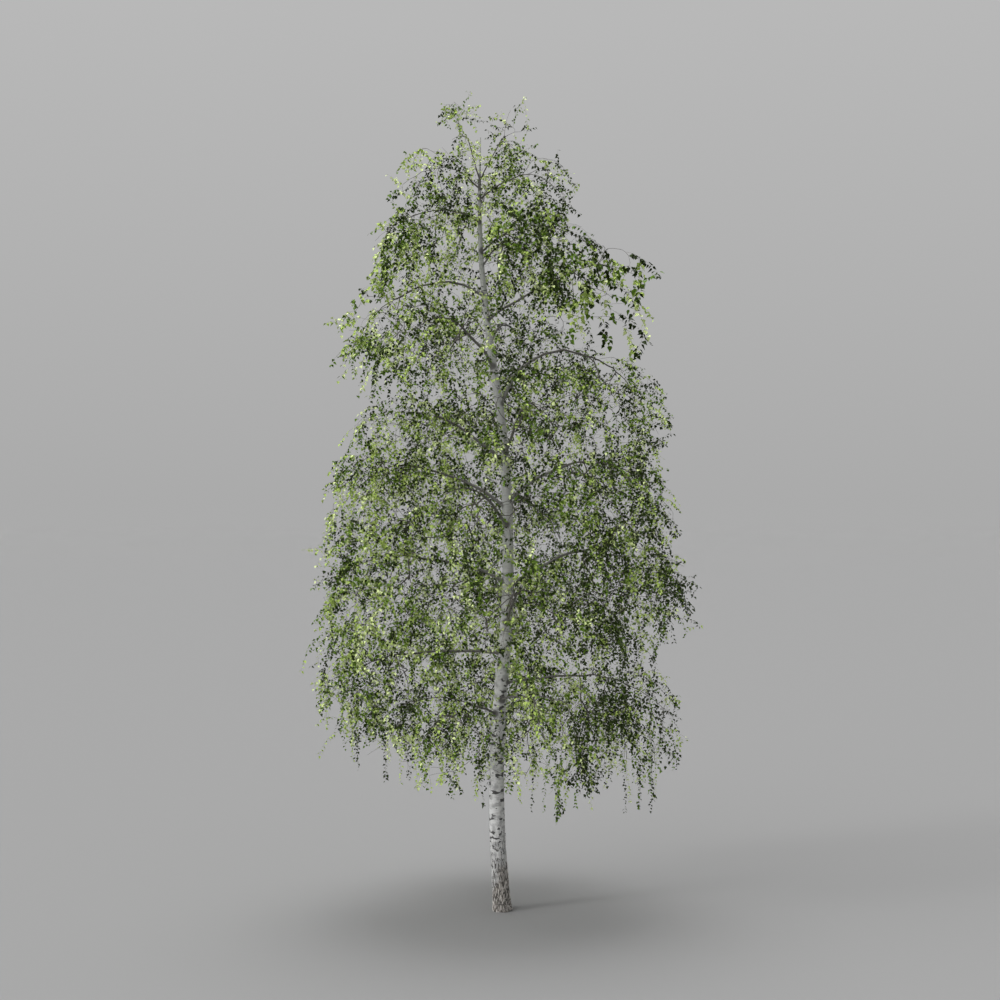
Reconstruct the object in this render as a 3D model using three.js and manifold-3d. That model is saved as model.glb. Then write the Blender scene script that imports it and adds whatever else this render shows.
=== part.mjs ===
// Silver birch (Betula pendula): one whole tree in summer leaf, rooted in level ground.
//
// Millimetres, +Z up. The origin is the middle of the flat cut under the trunk, at ground level.
// A bearing is in degrees from +X towards +Y; the tree's left side is -X and its front is -Y.
//
// The trunk runs whole from the ground to the bare tip of its leader. Each limb is a pair of
// sub-parts: bough_NAME, a tapering arm that leaves the trunk, and foliage_NAME, the closed,
// uneven mass of twigs and leaves that the arm carries and ends in.

import * as THREE from 'three';
import { mergeVertices } from 'three/addons/utils/BufferGeometryUtils.js';
import Module from 'manifold-3d';

const wasm = await Module();
wasm.setup();

// Trunk
const trunkHeight = 11350; // bare tip of the leader, between the two top tufts
const trunkRadius = 125; // just above the root flare
const trunkTipRadius = 6;
const trunkTaper = 0.72; // power of the taper: under 1, the lower trunk stays thick
const trunkSides = 12;
const trunkRings = 20;
const ringCrowding = 1.6; // over 1, the rings stand closer together towards the root flare
const flareDepth = 26; // how far the root flare stands out at the ground
const flareHeight = 200; // the flare fades over this height
const flareLobes = 5; // soft ribs over the main roots
const flareLobeDepth = 9;
// Sideways bends of the trunk's middle, at even steps of height from the ground to the tip.
const swayX = [0, -75, -50, 70, 85, 3, -205, -330, -316];
const swayY = [0, 15, 40, 45, 10, -40, -50, -20, 0];

// Boughs
const boughSides = 5;
const boughRings = 4;
const boughSlimming = 0.6; // share of its thickness that a bough loses on the way to its mass's crest
const boughElbow = 0.42; // where along its run a bough turns from rising to spreading
const boughCrest = 0.45; // a bough makes for a point this share of the rise over its mass's middle
const socketDepth = 120; // how far a bough's end reaches into its mass
const boughSteps = 200; // steps along a bough's line in the search for the edge of its mass

// Masses of foliage
const massDetail = 3; // steps of subdivision of the octahedron that each mass is shaped from
const lumpDepth = 0.075; // height of each wave of unevenness, as a share of the mass's size
const lumpWaves = [2.3, 3.4, 4.6]; // waves of unevenness over one radius
const curtainPower = 3.6; // squareness of the lower half: 2 is round, more hangs straighter down
const fewestTassels = 4; // hanging tassels round a mass's hem: this many or one or two more
const hemDepth = 0.2; // how far the tassels of the lower hem differ, as a share of the hang
const seatGap = 0.3; // clearance between pieces that touch
const massGap = 12; // air between two masses
const massMargin = 40; // a bough counts as out of a neighbouring mass at this distance
const trunkClearance = 30; // air between the trunk and the leaves round it

// foot: height at which the bough leaves the trunk      girth: its radius there
// arch: how far it bows up over the straight line
// bearing, out, up: the middle of its mass, round the tree, off its axis and above the ground
// long, wide: half sizes of the mass, outwards and round the tree
// rise, hang: how far the mass stands above and hangs below its middle
// droop: how far its outer end hangs lower than its middle
const limbs = [
  { name: 'tip_left', foot: 10740, girth: 12, arch: 20, bearing: 180, out: 640, up: 11560,
    long: 235, wide: 240, rise: 505, hang: 520, droop: 0 },
  { name: 'tip_right', foot: 10690, girth: 12, arch: 30, bearing: 10, out: 140, up: 11410,
    long: 265, wide: 260, rise: 400, hang: 450, droop: 0 },
  { name: 'top_left', foot: 10600, girth: 15, arch: 140, bearing: 188, out: 990, up: 10800,
    long: 560, wide: 600, rise: 480, hang: 540, droop: 160 },
  { name: 'top_right', foot: 10440, girth: 16, arch: 100, bearing: 345, out: 600, up: 10730,
    long: 540, wide: 600, rise: 340, hang: 560, droop: 160 },
  { name: 'top_back', foot: 10200, girth: 15, arch: 160, bearing: 105, out: 760, up: 10650,
    long: 540, wide: 660, rise: 440, hang: 580, droop: 120 },
  { name: 'crown_left', foot: 10100, girth: 18, arch: 320, bearing: 196, out: 1350, up: 9780,
    long: 760, wide: 860, rise: 560, hang: 700, droop: 200 },
  { name: 'shoulder_right', foot: 8650, girth: 22, arch: 160, bearing: 352, out: 1470, up: 9230,
    long: 620, wide: 680, rise: 640, hang: 820, droop: 60 },
  { name: 'crown_right', foot: 9650, girth: 18, arch: 240, bearing: 318, out: 900, up: 9750,
    long: 740, wide: 840, rise: 560, hang: 720, droop: 160 },
  { name: 'crown_back', foot: 9450, girth: 19, arch: 220, bearing: 78, out: 1100, up: 9700,
    long: 740, wide: 920, rise: 560, hang: 760, droop: 160 },
  { name: 'shoulder_left', foot: 9005, girth: 24, arch: 560, bearing: 177, out: 1690, up: 8620,
    long: 880, wide: 900, rise: 600, hang: 820, droop: 240 },
  { name: 'shoulder_front', foot: 7920, girth: 28, arch: 330, bearing: 222, out: 1360, up: 8470,
    long: 880, wide: 1100, rise: 620, hang: 780, droop: 220 },
  { name: 'shoulder_back', foot: 8300, girth: 26, arch: 300, bearing: 84, out: 1450, up: 8430,
    long: 880, wide: 1150, rise: 640, hang: 780, droop: 220 },
  { name: 'spread_left', foot: 5890, girth: 29, arch: 400, bearing: 174, out: 1850, up: 6230,
    long: 860, wide: 1120, rise: 740, hang: 900, droop: 40 },
  { name: 'arm_left', foot: 6520, girth: 27, arch: 300, bearing: 188, out: 1330, up: 7150,
    long: 900, wide: 1020, rise: 480, hang: 760, droop: 160 },
  { name: 'arm_right', foot: 7435, girth: 29, arch: 1250, bearing: 4, out: 1670, up: 7520,
    long: 840, wide: 950, rise: 660, hang: 820, droop: 200 },
  { name: 'arm_front', foot: 6684, girth: 26, arch: 300, bearing: 290, out: 1500, up: 7330,
    long: 880, wide: 1100, rise: 700, hang: 820, droop: 220 },
  { name: 'arm_back', foot: 6950, girth: 27, arch: 300, bearing: 96, out: 1600, up: 7080,
    long: 920, wide: 1200, rise: 620, hang: 820, droop: 220 },
  { name: 'spread_right', foot: 5990, girth: 29, arch: 480, bearing: 350, out: 1780, up: 6230,
    long: 820, wide: 1120, rise: 780, hang: 940, droop: 200 },
  { name: 'spread_front', foot: 5610, girth: 29, arch: 300, bearing: 250, out: 1600, up: 5900,
    long: 980, wide: 1300, rise: 640, hang: 860, droop: 240 },
  { name: 'spread_back', foot: 5700, girth: 29, arch: 300, bearing: 78, out: 1750, up: 5780,
    long: 980, wide: 1300, rise: 640, hang: 860, droop: 240 },
  { name: 'broad_left', foot: 4790, girth: 33, arch: 300, bearing: 184, out: 1800, up: 4860,
    long: 900, wide: 1200, rise: 700, hang: 900, droop: 40 },
  { name: 'broad_right', foot: 4700, girth: 31, arch: 480, bearing: 6, out: 1880, up: 4960,
    long: 920, wide: 1200, rise: 700, hang: 900, droop: 60 },
  { name: 'broad_front', foot: 4170, girth: 30, arch: 280, bearing: 280, out: 1720, up: 4500,
    long: 1000, wide: 1350, rise: 660, hang: 860, droop: 240 },
  { name: 'broad_back', foot: 4300, girth: 31, arch: 300, bearing: 98, out: 1800, up: 4420,
    long: 1000, wide: 1400, rise: 680, hang: 860, droop: 240 },
  { name: 'skirt_left', foot: 3760, girth: 28, arch: 160, bearing: 178, out: 1860, up: 3380,
    long: 820, wide: 1100, rise: 660, hang: 920, droop: 60 },
  { name: 'skirt_right', foot: 3305, girth: 26, arch: 200, bearing: 354, out: 1680, up: 3060,
    long: 800, wide: 1050, rise: 760, hang: 1180, droop: 60 },
  { name: 'skirt_front_left', foot: 2835, girth: 22, arch: 200, bearing: 232, out: 1420, up: 2900,
    long: 860, wide: 900, rise: 560, hang: 900, droop: 160 },
  { name: 'skirt_front_right', foot: 3060, girth: 22, arch: 200, bearing: 298, out: 1480, up: 2880,
    long: 840, wide: 900, rise: 560, hang: 820, droop: 160 },
  { name: 'skirt_back', foot: 3150, girth: 26, arch: 240, bearing: 84, out: 1700, up: 3000,
    long: 940, wide: 1400, rise: 680, hang: 940, droop: 220 },
];

// Finishes
const barkFinish = { color: 0xcfd0cd, roughness: 0.8, metalness: 0 };
const boughFinish = { color: 0x6d675f, roughness: 0.85, metalness: 0 };
const leafColours = [0x4f6a2c, 0x5d7a33, 0x456128, 0x6b8a3a];

// Solids

// A geometry's closed surface as a solid that can be joined and cut.
function solidOf(geometry) {
  const bare = geometry.clone();
  bare.deleteAttribute('normal');
  bare.deleteAttribute('uv');
  const merged = mergeVertices(bare);
  const vertProperties = merged.attributes.position.array;
  const triVerts = new Uint32Array(merged.index.array);
  return new wasm.Manifold(new wasm.Mesh({ numProp: 3, vertProperties, triVerts }));
}

function geometryOf(solid) {
  const mesh = solid.getMesh();
  const geometry = new THREE.BufferGeometry();
  geometry.setAttribute('position', new THREE.BufferAttribute(mesh.vertProperties, 3));
  geometry.setIndex(new THREE.BufferAttribute(mesh.triVerts, 1));
  geometry.computeVertexNormals();
  return geometry;
}

// The largest piece of a solid that a cut has left in several.
function largestPiece(solid) {
  return solid.decompose().reduce((best, piece) => (piece.volume() > best.volume() ? piece : best));
}

// Bends a cylinder of unit size: placeVertex(share of the length, angle, share of the radius).
function bentCylinder(sides, rings, placeVertex) {
  const geometry = new THREE.CylinderGeometry(1, 1, 1, sides, rings);
  geometry.rotateX(Math.PI / 2);
  const position = geometry.attributes.position;
  for (let i = 0; i < position.count; i += 1) {
    const x = position.getX(i);
    const y = position.getY(i);
    const placed = placeVertex(position.getZ(i) + 0.5, Math.atan2(y, x), Math.hypot(x, y));
    position.setXYZ(i, placed.x, placed.y, placed.z);
  }
  return geometry;
}

// Trunk

const trunkLine = new THREE.CatmullRomCurve3(
  swayX.map((x, step) => new THREE.Vector3(x, swayY[step], (trunkHeight * step) / (swayX.length - 1))),
  false,
  'catmullrom',
);

function trunkCentre(height) {
  return trunkLine.getPoint(height / trunkHeight);
}

function trunkRadiusAt(height, angle) {
  const stem = trunkTipRadius
    + (trunkRadius - trunkTipRadius) * (1 - height / trunkHeight) ** trunkTaper;
  const flare = Math.exp(-height / flareHeight);
  return stem + flare * (flareDepth + flareLobeDepth * Math.cos(flareLobes * angle));
}

// The trunk's skin, moved out by extra.
function trunkShape(extra = 0) {
  return bentCylinder(trunkSides, trunkRings, (along, angle, reach) => {
    const height = trunkHeight * along ** ringCrowding;
    const radius = reach * (trunkRadiusAt(height, angle) + extra);
    const centre = trunkCentre(height);
    return new THREE.Vector3(
      centre.x + radius * Math.cos(angle),
      centre.y + radius * Math.sin(angle),
      height,
    );
  });
}

// Masses of foliage

// Directions of a limb's mass: outwards, round the tree, and its middle.
function massFrame(limb) {
  const bearing = THREE.MathUtils.degToRad(limb.bearing);
  const outwards = new THREE.Vector3(Math.cos(bearing), Math.sin(bearing), 0);
  const around = new THREE.Vector3(-outwards.y, outwards.x, 0);
  const middle = outwards.clone().multiplyScalar(limb.out).setZ(limb.up);
  return { outwards, around, middle };
}

// Each mass has its own waves of unevenness, drawn with a seed from its limb's place on the tree.
function lumpsOf(limb) {
  const draw = THREE.MathUtils.seededRandom;
  draw(limb.foot + limb.bearing);
  return lumpWaves.map((waves) => ({
    waves: new THREE.Vector3(draw() - 0.5, draw() - 0.5, draw() - 0.5).setLength(waves),
    phase: draw() * Math.PI * 2,
  }));
}

// Size of a mass in one direction, as a share of its half sizes.
function swell(limb, direction) {
  const lumps = limb.lumps.reduce(
    (sum, lump) => sum + Math.sin(direction.dot(lump.waves) + lump.phase),
    0,
  );
  const turn = Math.atan2(direction.y, direction.x);
  const below = Math.max(0, -direction.z);
  const tassels = below ** 2 * Math.sin(limb.tassels * turn + limb.lumps[0].phase);
  const across = Math.hypot(direction.x, direction.y);
  const squareness = below > 0 ? curtainPower : 2;
  const curtain = (across ** squareness + Math.abs(direction.z) ** squareness) ** (-1 / squareness);
  return curtain * (1 + lumpDepth * lumps + hemDepth * tassels);
}

// The mass's skin, moved out by extra.
function massShape(limb, extra = 0) {
  const { outwards, around, middle } = massFrame(limb);
  const geometry = new THREE.OctahedronGeometry(1, massDetail);
  const position = geometry.attributes.position;
  const direction = new THREE.Vector3();
  for (let i = 0; i < position.count; i += 1) {
    direction.fromBufferAttribute(position, i);
    const size = swell(limb, direction);
    const height = direction.z > 0 ? limb.rise : limb.hang;
    const out = direction.x * (limb.long * size + extra);
    const side = direction.y * (limb.wide * size + extra);
    const lift = direction.z * (height * size + extra) - droopAt(limb, out);
    const placed = middle.clone().addScaledVector(outwards, out).addScaledVector(around, side);
    position.setXYZ(i, placed.x, placed.y, placed.z + lift);
  }
  return geometry;
}

// How far a mass hangs down at a distance out from its middle, and stands up on the inner side.
function droopAt(limb, out) {
  return limb.droop * (out / limb.long) * Math.abs(out / limb.long);
}

// Whether a point lies inside a limb's mass, taken as margin larger all round.
function massHolds(limb, point, margin = 0) {
  const { outwards, around, middle } = massFrame(limb);
  const offset = point.clone().sub(middle);
  const out = offset.dot(outwards);
  const lift = offset.z + droopAt(limb, out);
  const share = new THREE.Vector3(
    out / (limb.long + margin),
    offset.dot(around) / (limb.wide + margin),
    lift / ((lift > 0 ? limb.rise : limb.hang) + margin),
  );
  return share.length() < swell(limb, share.clone().normalize());
}

// Boughs

// From the trunk's middle to the crest of the mass, rising first and then spreading.
function boughLine(limb) {
  const root = trunkCentre(limb.foot);
  const crest = massFrame(limb).middle;
  crest.z += boughCrest * limb.rise;
  const elbow = root.clone().lerp(crest, boughElbow);
  elbow.z += limb.arch;
  return new THREE.QuadraticBezierCurve3(root, elbow, crest);
}

// Share of a bough's line at which it ends: a socket's depth inside its mass, past any earlier
// mass that takes the same room.
function boughEnd(limb, line) {
  const earlier = limbs.slice(0, limbs.indexOf(limb));
  const isOwnLeaf = (point) => massHolds(limb, point)
    && !earlier.some((other) => massHolds(other, point, massMargin));
  let step = 1;
  while (step < boughSteps && !isOwnLeaf(line.getPoint(step / boughSteps))) {
    step += 1;
  }
  return Math.min(1, step / boughSteps + socketDepth / line.getLength());
}

// The bough's skin, moved out by extra at its sides and its end.
function boughShape(limb, extra = 0) {
  const line = boughLine(limb);
  const end = boughEnd(limb, line);
  const { around } = massFrame(limb);
  return bentCylinder(boughSides, boughRings, (along, angle, reach) => {
    const share = along * end;
    const tangent = line.getTangent(share);
    const upwards = new THREE.Vector3().crossVectors(tangent, around).normalize();
    const radius = reach * (limb.girth * (1 - boughSlimming * share) + extra);
    return line.getPoint(share)
      .addScaledVector(around, radius * Math.cos(angle))
      .addScaledVector(upwards, radius * Math.sin(angle))
      .addScaledVector(tangent, along * extra);
  });
}

// The tree

limbs.forEach((limb, index) => {
  limb.lumps = lumpsOf(limb);
  limb.tassels = fewestTassels + (index % 3);
});

function pieceOf(name, solid, finish) {
  const mesh = new THREE.Mesh(geometryOf(solid), new THREE.MeshStandardMaterial(finish));
  mesh.name = name;
  return mesh;
}

const trunk = solidOf(trunkShape());
const trunkSeat = solidOf(trunkShape(seatGap));
const trunkAir = solidOf(trunkShape(trunkClearance));
const boughSeats = limbs.map((limb) => solidOf(boughShape(limb, seatGap)));

const tree = new THREE.Group();
tree.add(pieceOf('trunk', trunk, barkFinish));

limbs.forEach((limb, index) => {
  const bough = largestPiece(solidOf(boughShape(limb)).subtract(trunkSeat));
  tree.add(pieceOf(`bough_${limb.name}`, bough, boughFinish));

  const cuts = [
    trunkAir,
    ...boughSeats,
    ...limbs.slice(0, index).map((earlier) => solidOf(massShape(earlier, massGap))),
  ];
  const mass = largestPiece(cuts.reduce((solid, cut) => solid.subtract(cut), solidOf(massShape(limb))));
  const finish = { color: leafColours[index % leafColours.length], roughness: 0.7, metalness: 0 };
  tree.add(pieceOf(`foliage_${limb.name}`, mass, finish));
});

export default tree;
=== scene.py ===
from functools import partial
import math
import random

import bpy
import numpy as np
from mathutils import Matrix, Vector, noise
from mathutils.bvhtree import BVHTree
from mathutils.kdtree import KDTree


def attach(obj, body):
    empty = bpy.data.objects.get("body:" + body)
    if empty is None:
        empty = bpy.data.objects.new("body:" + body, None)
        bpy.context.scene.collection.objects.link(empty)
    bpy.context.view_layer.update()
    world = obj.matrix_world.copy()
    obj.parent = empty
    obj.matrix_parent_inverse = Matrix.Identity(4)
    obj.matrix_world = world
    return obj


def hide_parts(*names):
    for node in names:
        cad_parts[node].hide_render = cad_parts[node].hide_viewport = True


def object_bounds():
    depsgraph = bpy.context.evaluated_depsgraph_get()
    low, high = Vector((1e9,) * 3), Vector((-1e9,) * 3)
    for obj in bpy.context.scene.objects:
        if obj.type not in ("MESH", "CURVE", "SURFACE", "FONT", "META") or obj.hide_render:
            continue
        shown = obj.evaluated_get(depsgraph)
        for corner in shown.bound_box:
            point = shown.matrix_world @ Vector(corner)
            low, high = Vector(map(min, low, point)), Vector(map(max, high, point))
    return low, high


# Silver birch in summer leaf. Metres, +Z up, the foot of the trunk at the origin.
# The trunk and boughs are read off the frame's solids and get a skin of bark. Inside each mass
# of foliage the bough grows on: stems reach out to tips, twigs hang from the stems, and leaves
# sit along the twigs.

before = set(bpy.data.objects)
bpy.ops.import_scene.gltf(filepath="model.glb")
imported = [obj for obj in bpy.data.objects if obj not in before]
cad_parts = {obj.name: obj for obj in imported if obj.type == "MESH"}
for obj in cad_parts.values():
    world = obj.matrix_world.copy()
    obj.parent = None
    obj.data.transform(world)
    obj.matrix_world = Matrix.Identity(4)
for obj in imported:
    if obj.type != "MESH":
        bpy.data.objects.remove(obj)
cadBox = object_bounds()
limbNames = sorted(name[len("bough_"):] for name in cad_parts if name.startswith("bough_"))
upward = Vector((0, 0, 1))
downward = Vector((0, 0, -1))


# Reading the frame

# Corners of a node's triangles, one row of three points for each.
def trianglesOf(name):
    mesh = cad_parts[name].data
    points = np.empty(len(mesh.vertices) * 3)
    mesh.vertices.foreach_get("co", points)
    corners = np.empty(len(mesh.loops), np.int32)
    mesh.loops.foreach_get("vertex_index", corners)
    return points.reshape(-1, 3)[corners].reshape(-1, 3, 3)


# Middle and mean radius of the cut that a plane makes through closed triangles.
def cutThrough(triangles, point, axis):
    height = (triangles - point) @ axis
    cut = (height.min(1) < 0) & (height.max(1) >= 0)
    corners = triangles[cut]
    height = height[cut]
    nextHeight = np.roll(height, -1, 1)
    crosses = (height < 0) != (nextHeight < 0)
    share = np.where(crosses, height / np.where(crosses, height - nextHeight, 1), 0)
    onEdge = corners + share[..., None] * (np.roll(corners, -1, 1) - corners)
    ends = onEdge[crosses].reshape(-1, 2, 3)
    guess = ends.reshape(-1, 3).mean(0)
    areas = np.linalg.norm(np.cross(ends[:, 0] - guess, ends[:, 1] - guess), axis=1) / 2
    thirds = (ends.sum(1) + guess) / 3
    middle = (areas[:, None] * thirds).sum(0) / areas.sum()
    return middle, math.sqrt(areas.sum() / math.pi)


# Rounds off the corners of a row of values, keeping both ends.
def smoothed(values, reach):
    kernel = np.hanning(2 * reach + 3)[1:-1]
    kernel /= kernel.sum()
    before = 2 * values[0] - values[reach:0:-1]
    after = 2 * values[-1] - values[-2:-reach - 2:-1]
    padded = np.concatenate([before, values, after])
    return np.stack([np.convolve(column, kernel, "valid") for column in padded.T], 1)


trunkStyle = {
    "footStep": 0.0085,  # rings of the skin at the cracked foot
    "topStep": 0.028,
    "footShare": 0.3,  # share of the height over which the rings move apart
    "edge": 0.001,  # how far inside both ends the outermost cuts are made
    "evened": 12,  # rings to each side over which the line is evened out
    "sides": 112,
}


# The trunk's middle line and radius, with rings closer together at the foot.
def readTrunk():
    triangles = trianglesOf("trunk")
    top = triangles[..., 2].max()
    footStep, topStep = trunkStyle["footStep"], trunkStyle["topStep"]
    heights = [0.0]
    while heights[-1] < top:
        share = min(1, heights[-1] / (trunkStyle["footShare"] * top))
        heights.append(heights[-1] + footStep * (1 - share) + topStep * share)
    heights = np.clip(np.array(heights), trunkStyle["edge"], top - trunkStyle["edge"])
    cuts = [cutThrough(triangles, np.array((0, 0, z)), np.array((0, 0, 1))) for z in heights]
    rows = np.array([(*middle, radius) for middle, radius in cuts])
    rows = np.unique(smoothed(rows, trunkStyle["evened"]), axis=0)
    rows = rows[np.argsort(rows[:, 2])]
    rows[0, 2] = 0
    rows[-1, 2] = top
    return rows


trunkRows = readTrunk()


def trunkAt(height):
    return Vector([np.interp(height, trunkRows[:, 2], trunkRows[:, i]) for i in (0, 1)] + [height])


boughStyle = {
    "seed": 5,
    "bend": 0.05,  # how far a bough strays from its smooth line
    "bendScale": 1.6,
    "rootSlice": 0.01,  # thickness of the slices that tell where it begins and ends
    "endSlice": 0.03,
    "cuts": (0.1, 0.9, 9),  # the first and last share of its length to be cut, and how many cuts
    "socket": (1.15, 1.06),  # how much it thickens inside the trunk and on the way out
}

noise.seed_set(boughStyle["seed"])


# The line with small bends in it, which fade out towards both ends.
def bentLine(points):
    finer = [points[0]]
    for a, b in zip(points, points[1:]):
        finer += [a.lerp(b, 0.5), b]
    last = len(finer) - 1
    for i, point in enumerate(finer):
        stray = boughStyle["bend"] * math.sin(math.pi * i / last)
        finer[i] = point + noise.noise_vector(point * boughStyle["bendScale"]) * stray
    return finer


# A bough's middle line and radii, from inside the trunk to its end in its mass.
def readBough(name):
    triangles = trianglesOf("bough_" + name)
    points = triangles.reshape(-1, 3)
    besides = np.array([np.interp(points[:, 2], trunkRows[:, 2], trunkRows[:, i]) for i in (0, 1)]).T
    offTrunk = np.linalg.norm(points[:, :2] - besides, axis=1)
    root = points[offTrunk < offTrunk.min() + boughStyle["rootSlice"]].mean(0)
    reach = np.linalg.norm(points - root, axis=1)
    end = points[reach > reach.max() - boughStyle["endSlice"]].mean(0)
    chord = end - root
    axis = chord / np.linalg.norm(chord)
    shares = np.linspace(*boughStyle["cuts"])
    cuts = [cutThrough(triangles, root + share * chord, axis) for share in shares]
    line = np.array([middle for middle, _ in cuts] + [end])
    heading = np.gradient(line, axis=0)
    slant = (heading @ axis) / np.linalg.norm(heading, axis=1)
    radii = [radius * math.sqrt(slant[i]) for i, (_, radius) in enumerate(cuts)]
    radii.append(radii[-1])
    # back along the line to the middle of the trunk
    back = Vector(line[0] - line[1])
    gap = Vector(line[0]) - trunkAt(line[0][2])
    start = Vector(line[0]) + back * (gap.xy.length / back.xy.length)
    socket = trunkAt(start.z)
    middles = [socket, socket.lerp(Vector(line[0]), 0.5)] + [Vector(row) for row in line]
    radii = [radii[0] * swell for swell in boughStyle["socket"]] + radii
    shares = np.linspace(0, len(radii) - 1, 2 * len(radii) - 1)
    return {"points": bentLine(middles), "radii": np.interp(shares, range(len(radii)), radii).tolist()}


# A foliage solid as something to measure in: its volume, box and surface.
def readMass(name):
    triangles = trianglesOf("foliage_" + name)
    points = triangles.reshape(-1, 3)
    faces = np.arange(len(points)).reshape(-1, 3)
    a, b, c = triangles[:, 0], triangles[:, 1], triangles[:, 2]
    return {
        "surface": BVHTree.FromPolygons(points.tolist(), faces.tolist()),
        "volume": float(np.einsum("ij,ij->", a, np.cross(b, c)) / 6),
        "low": points.min(0),
        "high": points.max(0),
    }


boughs = {name: readBough(name) for name in limbNames}
masses = {name: readMass(name) for name in limbNames}
foliage = sum(mass["volume"] for mass in masses.values())
print("frame read:", len(boughs), "boughs,", round(foliage, 1), "m3 of foliage")


# Growing the crown

growth = {
    "seed": 464,
    "tips": 34,  # stem tips in each cubic metre of foliage
    "fewestTips": 8,
    "tipSpacing": 0.75,  # least gap between tips, as a share of an even one
    "tipTries": 60,
    "upperShare": 0.88,  # stems keep to this upper share of a mass, and twigs fill the rest
    "inset": 0.06,  # stem tips keep this far inside their mass
    "turnCost": 0.55,  # how much rather a stem forks where it has to turn less
    "stemTurn": 1.2,  # how fast it leaves its parent's way
    "stemKnee": 0.45,  # where along it the turn is
    "stemLift": 0.16,  # how far it bows up, as a share of its length
    "stemStep": 0.085,
    "stemStray": 0.12,  # as a share of its step
    "stemTipRadius": 0.0016,
    "sprays": 59,  # sprays in each cubic metre of foliage
    "picks": 6,  # places tried for each spray, of which the least crowded is taken
    "cell": 0.16,  # size of the cubes in which crowding is counted
    "hemDepth": 0.35,  # thickness of the lowest part of a mass
    "belowHem": 0.5,  # share of the places in it that are moved below the hem
    "clumps": 7,  # how strongly leaf gathers in clumps
    "clumpScale": 2.1,
    "clumpFrom": (43.3, 42.8, 39.1),  # where the noise that places the clumps begins
    "swing": 0.5,  # how far round the trunk, and for how many places
    "swingShare": 0.35,
    "seats": 8,  # places on the stems that a twig may start from
    "seatLift": 0.1,  # and how far above its end they are looked for
    "onward": 0.4,  # how much of the stem's way, of upward and of a random way it takes on
    "rise": 0.35,
    "stray": 0.3,
    "reach": 0.6,  # longest way from a stem to the place a spray fills
    "beyond": (0.08, 0.42),  # how much further a twig hangs
    "steer": 0.5,  # how fast a twig turns to the place it fills
    "wobble": 0.14,
    "twigRadius": 0.0009,
    "twigStep": 0.085,
    "leastStep": 0.01,
    "shoots": (1, 1, 2, 2),  # side shoots on one twig
    "shootShare": (0.25, 0.6),  # their length, as a share of the twig's
    "shootOnward": 0.8,
    "overhang": 0.03,  # how far a twig may pass out of its mass's sides
    "clearing": 0.72,  # how many sprays are missing right in front of the trunk
    "clearLeft": 0.75,  # how far that thin place reaches to both sides
    "clearRight": 0.35,
    "clearTop": 10.5,  # it narrows in the last metres below this height, to a least share
    "clearFade": 3,
    "clearLeast": 0.25,
    "leafSpacing": 0.045,
}

# Where a limb differs from the rest. leaf: size of its leaves; full: how many sprays it has;
# hang: length of its twigs; gravity: how fast they turn down; dangle: how far they may hang
# below their mass; hem: how many of its lowest sprays it has; curtain: how far its leaf
# gathers in tall narrow strands; strand: how far its strands pass the hem; rim: how far its
# leaf keeps inside its sides and top; fresh: how much lighter and more yellow green its leaf is;
# swing: how many of its places are turned round the trunk.
plainCharacter = {
    "full": 1.0, "hang": 1.0, "gravity": 0.2, "dangle": 0.3, "hem": 1.0, "curtain": 1.0,
    "strand": 0.45, "rim": 0.07, "leaf": 1.0, "fresh": 0.0, "swing": 1.0,
}
tuft = {"rim": 0, "hang": 0.8, "gravity": -0.04, "swing": 0}
upper = {"rim": 0.02, "hang": 0.6, "gravity": 0.12}
weeping = {"hang": 1.2, "gravity": 0.34, "dangle": 0.05, "hem": 0.3, "curtain": 1.6}
character = {
    "tip_left": {**tuft, "full": 4, "leaf": 0.9, "fresh": 0.2},
    "tip_right": {**tuft, "full": 5, "hang": 0.5, "gravity": -0.12, "leaf": 0.95, "fresh": 0.25},
    "top_left": {**upper, "full": 1.35},
    "top_right": {**upper, "full": 1.45},
    "top_back": {**upper, "full": 1.6},
    "shoulder_right": {"full": 0.4, "rim": 0, "leaf": 1.7, "dangle": 0.2, "hem": 0.9,
                       "fresh": 0.2, "swing": 0.3},
    "crown_right": {"leaf": 1.25, "full": 1.05, "rim": 0.02, "dangle": 0.1, "hem": 0.6},
    "crown_left": {"leaf": 1.1, "full": 1.05, "dangle": 0.1, "hem": 0.6, "fresh": 0.05},
    "shoulder_front": {"full": 0.8},
    "arm_front": {"full": 0.75},
    "broad_front": {"full": 0.7},
    "spread_front": {"full": 0.65},
    "arm_right": {"rim": 0.01},
    "shoulder_left": {"full": 0.6, "rim": 0.04, "leaf": 1.25, "fresh": 0.2, "dangle": 0.05,
                      "hem": 0.3},
    "spread_left": {"fresh": 0.08},
    "skirt_left": {**weeping, "full": 0.75},
    "skirt_right": {**weeping, "full": 0.7, "gravity": 0.38, "dangle": 0.02, "curtain": 1.8},
    "skirt_back": {**weeping, "full": 0.9, "dangle": 0.08, "hem": 0.4},
    "skirt_front_left": {**weeping, "full": 0.65, "hang": 1.1, "gravity": 0.3, "dangle": 0,
                         "hem": 0.35, "strand": 0.1},
    "skirt_front_right": {**weeping, "full": 0.6, "gravity": 0.36, "curtain": 1.8, "strand": 0.3},
}


def traitOf(name, trait):
    return character.get(name, {}).get(trait, plainCharacter[trait])


# Distance from a point inside a mass to where a ray leaves it, or 0 from outside.
def roomAlong(name, point, direction):
    place, normal, _, distance = masses[name]["surface"].ray_cast(point, direction)
    if place is None or normal.dot(direction) < 0:
        return 0.0
    return distance


# Distance from a point to the nearest skin of a mass.
def gapTo(name, point):
    return masses[name]["surface"].find_nearest(point)[3]


def randomPlace(name, dice):
    box = zip(masses[name]["low"], masses[name]["high"])
    return Vector([dice.uniform(low, high) for low, high in box])


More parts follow.
